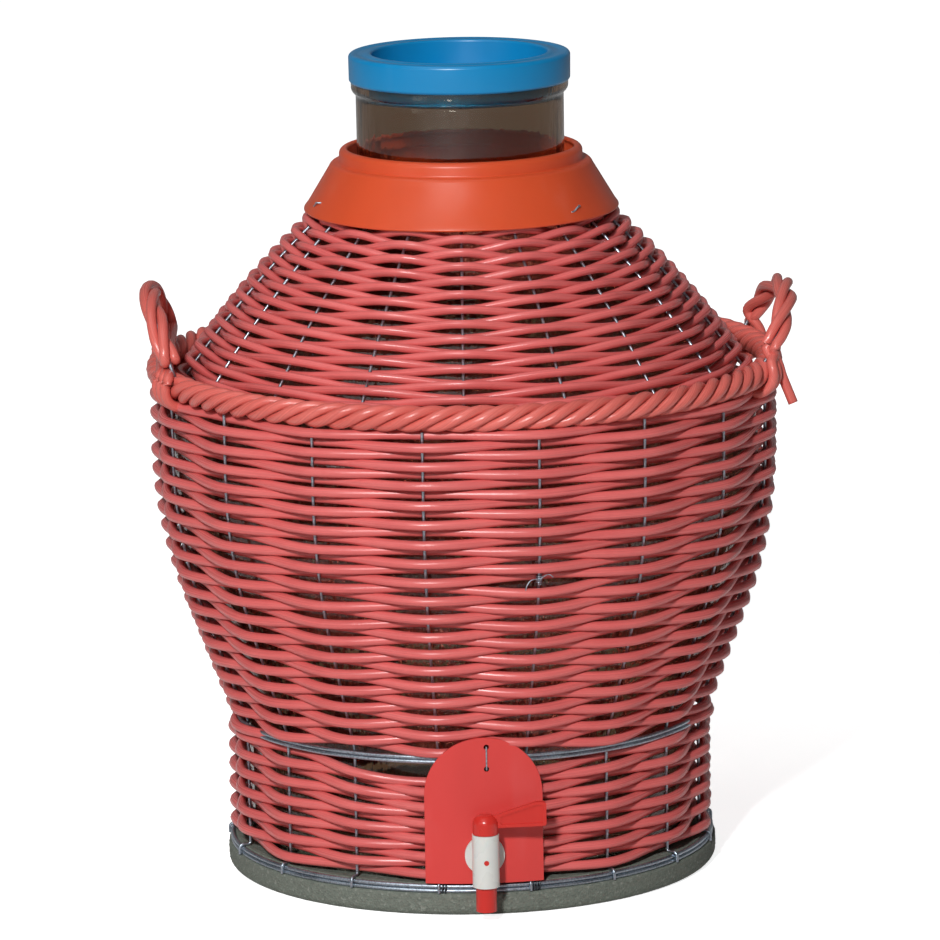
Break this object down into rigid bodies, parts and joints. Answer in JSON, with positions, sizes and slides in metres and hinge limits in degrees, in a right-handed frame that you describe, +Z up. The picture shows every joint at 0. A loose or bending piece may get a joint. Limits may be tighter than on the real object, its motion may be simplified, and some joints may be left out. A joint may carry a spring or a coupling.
{
  "type": "glass carboy",
  "caption": "Wide-mouth glass carboy in a woven plastic-strand basket with a rope border, two handles, a collar, a press-on lid and a plug tap at the foot.",
  "frame": {"origin": "middle of the base pad's underside", "axes": "+Z up through the mouth, -Y towards the tap, +X towards the right-hand handle"},
  "size_m": [0.505, 0.4812, 0.6202],
  "materials": {
    "pad": "matt",
    "wire": "galvanised",
    "strand": "satin",
    "collar": "satin",
    "glass": "polished",
    "lid": "satin",
    "tap_white": "satin",
    "tap_red": "satin",
    "gasket": "matt",
    "shield": "satin"
  },
  "bodies": {
    "vessel": {"base_pad": "pad", "base_ring": "wire", "body_stakes": "wire", "shoulder_stakes": "wire", "waist_hoop": "wire", "border_hoop": "wire", "collar_hoop": "wire", "weave_foot": "strand", "weave_belly": "strand", "weave_shoulder": "strand", "border_braid": "strand", "handle_core_left": "wire", "handle_core_right": "wire", "handle_left": "strand", "handle_right": "strand", "stake_splice": "wire", "shoulder_collar": "collar", "collar_ties": "wire", "glass_vessel": "glass", "tap_body": "tap_white", "tap_nut": "tap_white", "gasket_outer": "gasket", "gasket_inner": "gasket", "index_dot": "tap_red", "tap_shield": "shield", "shield_tie": "wire"},
    "lid": {"mouth_lid": "lid"},
    "plug": {"tap_plug": "tap_red"}
  },
  "joints": [
    {"name": "lid_lift", "type": "slide", "parent": "vessel", "child": "lid", "axis": [0, 0, 1], "range_m": [0, 0.15]},
    {"name": "tap_turn", "type": "hinge", "parent": "vessel", "child": "plug", "pos_m": [0, -0.20396, 0.0477], "axis": [0, 0, -1], "range_deg": [0, 90]}
  ]
}
